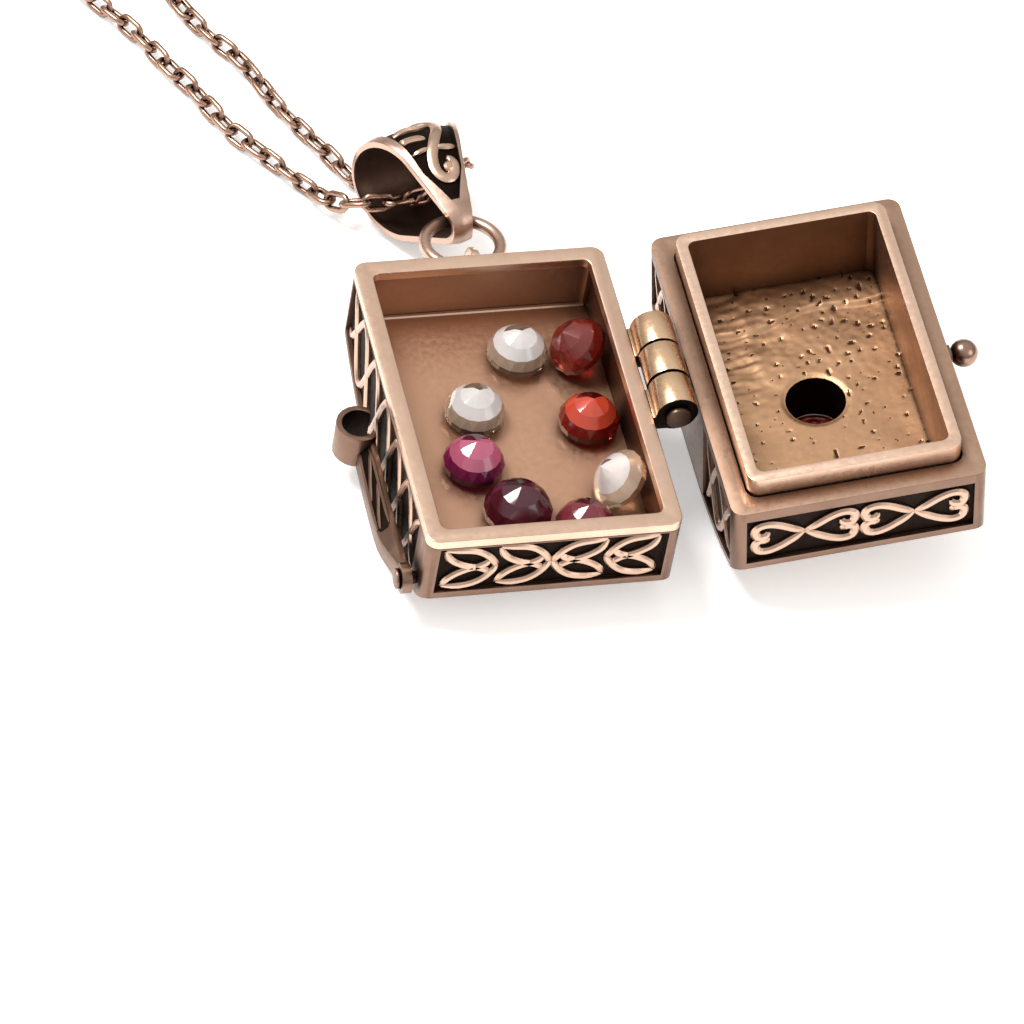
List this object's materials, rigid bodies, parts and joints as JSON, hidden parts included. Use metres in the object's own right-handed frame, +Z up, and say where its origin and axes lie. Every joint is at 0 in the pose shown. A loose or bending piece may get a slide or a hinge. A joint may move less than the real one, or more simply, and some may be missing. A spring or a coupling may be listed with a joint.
{
  "type": "prayer box necklace",
  "caption": "Open hinged locket box with a stone-filled tray, domed lid, ball latch and teardrop bail on a fine cable chain with a lobster clasp.",
  "frame": {"origin": "middle of the flat under the tray, where it lies on the table", "axes": "+X across from the tray to the open lid, +Y towards the bail and the chain, +Z up"},
  "size_m": [0.0707, 0.0772, 0.0116],
  "materials": {
    "satin_bronze": "antiqued rose bronze, satin with dark recesses",
    "polished_bronze": "rose bronze, polished",
    "gold_bronze": "gold toned bronze, polished",
    "cast_bronze": "antiqued rose bronze, as cast inside",
    "dark_bronze": "oxidised bronze",
    "chain_bronze": "antiqued rose bronze wire",
    "clear_glass": "clear faceted stone",
    "pink_glass": "pink faceted stone",
    "orange_glass": "orange red faceted stone",
    "purple_glass": "dark purple faceted stone",
    "rose_glass": "rose faceted stone",
    "red_glass": "red faceted stone",
    "garnet_glass": "deep red faceted stone"
  },
  "bodies": {
    "necklace": {"bail": "polished_bronze", "chain_turn": "chain_bronze", "chain_strand_lower": "chain_bronze", "chain_strand_upper": "chain_bronze", "chain_coil_lower": "chain_bronze", "chain_coil_upper": "chain_bronze", "clasp_ring": "chain_bronze", "clasp_body": "polished_bronze", "clasp_pin": "dark_bronze", "end_ring": "chain_bronze"},
    "ring": {"jump_ring": "polished_bronze"},
    "tray": {"tray_shell": "satin_bronze", "tray_rim": "polished_bronze", "tray_floor": "satin_bronze", "tray_knuckle_near": "gold_bronze", "tray_knuckle_far": "gold_bronze", "hinge_pin": "dark_bronze", "latch_rivet": "polished_bronze", "wall_eye": "polished_bronze", "stone_clear_far": "clear_glass", "stone_clear_left": "clear_glass", "stone_pink": "pink_glass", "stone_orange": "orange_glass", "stone_purple": "purple_glass", "stone_rose": "rose_glass", "stone_red": "red_glass", "stone_clear_near": "clear_glass"},
    "lid": {"lid_knuckle": "gold_bronze", "lid_shell": "cast_bronze", "lid_lip": "polished_bronze", "ball_stud": "gold_bronze", "face_bezel": "polished_bronze", "face_stone": "garnet_glass"},
    "latch": {"latch_arm": "satin_bronze"},
    "lever": {"clasp_lever": "polished_bronze"}
  },
  "joints": [
    {"name": "bail_swing", "type": "hinge", "parent": "necklace", "child": "ring", "pos_m": [0, 0.017, 0.00513], "axis": [0.9781, 0.2079, 0], "range_deg": [-45, 40]},
    {"name": "tray_swing", "type": "hinge", "parent": "ring", "child": "tray", "pos_m": [0, 0.01225, 0.0058], "axis": [1, 0, 0], "range_deg": [-45, 40]},
    {"name": "lid_hinge", "type": "hinge", "parent": "tray", "child": "lid", "pos_m": [0.0095, 0.0008, 0.00795], "axis": [0, 1, 0], "range_deg": [-171.5, 20]},
    {"name": "latch_pivot", "type": "hinge", "parent": "tray", "child": "latch", "pos_m": [-0.00875, -0.0103, 0.0032], "axis": [1, 0, 0], "range_deg": [0, 33.6]},
    {"name": "clasp_lever", "type": "hinge", "parent": "necklace", "child": "lever", "pos_m": [-0.03796, 0.0622, 0.00107], "axis": [0, 0, 1], "range_deg": [-25, 0], "stiffness_Nm_per_rad": 0.001, "springref_deg": 17.19}
  ]
}
